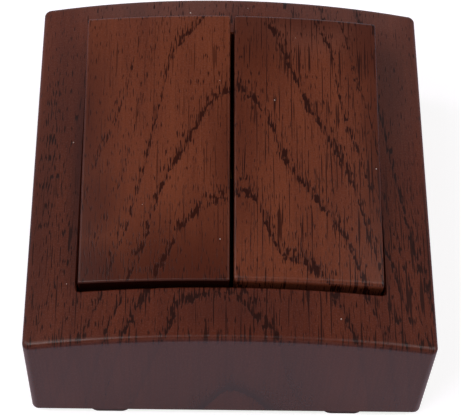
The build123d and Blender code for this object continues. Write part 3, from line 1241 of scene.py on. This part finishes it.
@dataclass
class Studio:
    """White floor, soft light and the camera at the photograph's viewing angle."""

    # Floor: its own white near the middle, far from it and in gloss, and where the switch hides it
    floor_level: float = -1.2 * MM
    floor_half: float = 2.0
    floor_matt: str = "#b9aabf"
    floor_white: str = "#fafff7"
    near_reach: float = 0.15
    far_reach: float = 0.9
    near_white: float = 0.75
    far_white: float = 1.0
    floor_mirrored: float = 0.16
    floor_hidden: float = 36 * MM
    # One soft box at the left front, and a long panel at each side
    lamps: tuple[SoftBox, ...] = (
        SoftBox("key", (-0.46, -0.34, 0.74), (0.4, 0.45), 2.9),
        SoftBox("panel_left", (-0.66, 0.03, 0.52), (0.5, 0.8), 3.6),
        SoftBox("panel_right", (0.66, -0.06, 0.52), (0.5, 0.8), 4.4),
    )
    # Room: its level, and the bands that gloss shows from the camera's side (-1) to the far side (1)
    room_level: float = 0.12
    room_white: str = "#f8faff"
    room_bands: Points = (
        (-0.9, 1.0), (-0.8, 0.05), (-0.7, 0.05), (-0.58, 1.0),
        (-0.2, 1.0), (-0.02, 0.04), (0.44, 0.04), (0.6, 1.0),
    )
    # Camera, fitted to the photograph
    sensor: float = 36.0
    lens: float = 128.13
    clip: tuple[float, float] = (0.01, 20.0)
    camera_at: Place = (-0.009096, -0.179017, 0.311854)
    camera_right: Place = (0.999517, -0.001759, 0.031013)
    camera_up: Place = (-0.014399, 0.858406, 0.512769)
    camera_back: Place = (-0.027524, -0.512968, 0.857966)

    def build(self) -> None:
        """Build floor, light, surroundings and camera."""
        self._floor()
        for lamp in self.lamps:
            lamp.hang()
        self._surroundings()
        self._camera()
        LOG.info("studio set")

    def _rays(self, tree: NodeTree) -> tuple[Node, NodeSocket]:
        """Sort the rays that meet the background.

        Args:
            tree: Node tree of the floor or the room.

        Returns:
            1 on rays from the camera and through glass, and 1 on rays from gloss.
        """
        path = add_node(tree, "ShaderNodeLightPath").outputs
        seen = add_node(
            tree,
            "ShaderNodeMath",
            {0: path["Is Camera Ray"], 1: path["Is Transmission Ray"]},
            operation="MAXIMUM",
        )
        return seen, path["Is Glossy Ray"]

    def _floor(self) -> None:
        """Lay the white floor, which shows white to the camera and keeps a faint shadow."""
        h, z = self.floor_half, self.floor_level
        mesh = bpy.data.meshes.new("floor")
        mesh.from_pydata([(-h, -h, z), (h, -h, z), (h, h, z), (-h, h, z)], [], [(0, 1, 2, 3)])
        floor = new_object("floor", mesh)
        material, tree = new_material("White studio floor")
        seen, gloss = self._rays(tree)
        place = add_node(tree, "ShaderNodeTexCoord")
        from_middle = add_node(
            tree, "ShaderNodeVectorMath", {0: place.outputs["Object"]}, operation="ABSOLUTE"
        )
        x, y, _ = add_node(tree, "ShaderNodeSeparateXYZ", {0: from_middle}).outputs
        reach = add_node(tree, "ShaderNodeMath", {0: x, 1: y}, operation="MAXIMUM")
        # Further out the lamps fall off, so there the floor shows more white of its own
        level = add_node(
            tree,
            "ShaderNodeMapRange",
            {0: reach, 1: self.near_reach, 2: self.far_reach, 3: self.near_white, 4: self.far_white},
        )
        shown = add_node(tree, "ShaderNodeMath", {0: seen, 1: level}, operation="MULTIPLY")
        mirrored = add_node(tree, "ShaderNodeMath", {0: gloss, 1: self.floor_mirrored}, operation="MULTIPLY")
        share = add_node(tree, "ShaderNodeMath", {0: shown, 1: mirrored}, operation="MAXIMUM")
        # Dark below the switch, where the wall slots would let it show
        outside = add_node(tree, "ShaderNodeMath", {0: reach, 1: self.floor_hidden}, operation="GREATER_THAN")
        strength = add_node(tree, "ShaderNodeMath", {0: share, 1: outside}, operation="MULTIPLY")
        matt = add_node(tree, "ShaderNodeBsdfDiffuse", {"Color": linear(self.floor_matt)})
        white = add_node(
            tree, "ShaderNodeEmission", {"Color": linear(self.floor_white), "Strength": strength}
        )
        both = add_node(tree, "ShaderNodeAddShader", {0: matt, 1: white})
        add_node(tree, "ShaderNodeOutputMaterial", {"Surface": both})
        set_material(floor, material)

    def _surroundings(self) -> None:
        """Make the room: white to the camera and in glass, a white sweep in the gloss and dim elsewhere."""
        world = bpy.data.worlds.new("room")
        world.use_nodes = True
        tree = world.node_tree
        tree.nodes.clear()
        place = add_node(tree, "ShaderNodeTexCoord")
        axes = add_node(tree, "ShaderNodeSeparateXYZ", {0: place.outputs["Generated"]})
        # In the gloss a white sweep stands behind the switch and a pale wall behind the camera
        depth = add_node(tree, "ShaderNodeMapRange", {0: axes.outputs[1], 1: -1.0, 2: 1.0})
        sweep = add_node(tree, "ShaderNodeValToRGB", {0: depth})
        stops = sweep.color_ramp.elements
        stops[0].position, stops[0].color = 0.0, (1, 1, 1, 1)
        stops[1].position, stops[1].color = 1.0, (1, 1, 1, 1)
        for y, level in self.room_bands:
            stops.new((y + 1) / 2).color = (level, level, level, 1)
        seen, gloss = self._rays(tree)
        mirrored = add_node(tree, "ShaderNodeMath", {0: gloss, 1: sweep}, operation="MULTIPLY")
        shown = add_node(tree, "ShaderNodeMath", {0: seen, 1: mirrored}, operation="MAXIMUM")
        strength = add_node(tree, "ShaderNodeMath", {0: shown, 1: self.room_level}, operation="MAXIMUM")
        sky = add_node(tree, "ShaderNodeBackground", {"Color": linear(self.room_white), "Strength": strength})
        add_node(tree, "ShaderNodeOutputWorld", {"Surface": sky})
        bpy.context.scene.world = world

    def _camera(self) -> None:
        """Stand the camera where the photograph was taken from."""
        data = bpy.data.cameras.new("camera")
        data.sensor_width = self.sensor
        data.lens = self.lens
        data.clip_start, data.clip_end = self.clip
        camera = new_object("camera", data)
        turn = Matrix((self.camera_right, self.camera_up, self.camera_back)).transposed().to_4x4()
        camera.matrix_world = Matrix.Translation(self.camera_at) @ turn
        bpy.context.scene.camera = camera


def main() -> None:
    """Load the frame, dress each sub-assembly in turn and set the studio."""
    logging.basicConfig(level=logging.INFO, format="%(name)s: %(message)s")
    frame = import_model()
    finishes = Finishes.make()
    OakCover().dress(frame["nodes"], finishes)
    for side in Side:
        Rocker(side).dress(frame, finishes)
    ContactMechanism().dress(frame["nodes"], finishes)
    BackSide().dress(frame["nodes"], finishes)
    LacquerNibs().strew(frame, finishes)
    Studio().build()
    bpy.context.scene.view_settings.view_transform = "Standard"


if __name__ == "__main__":
    main()
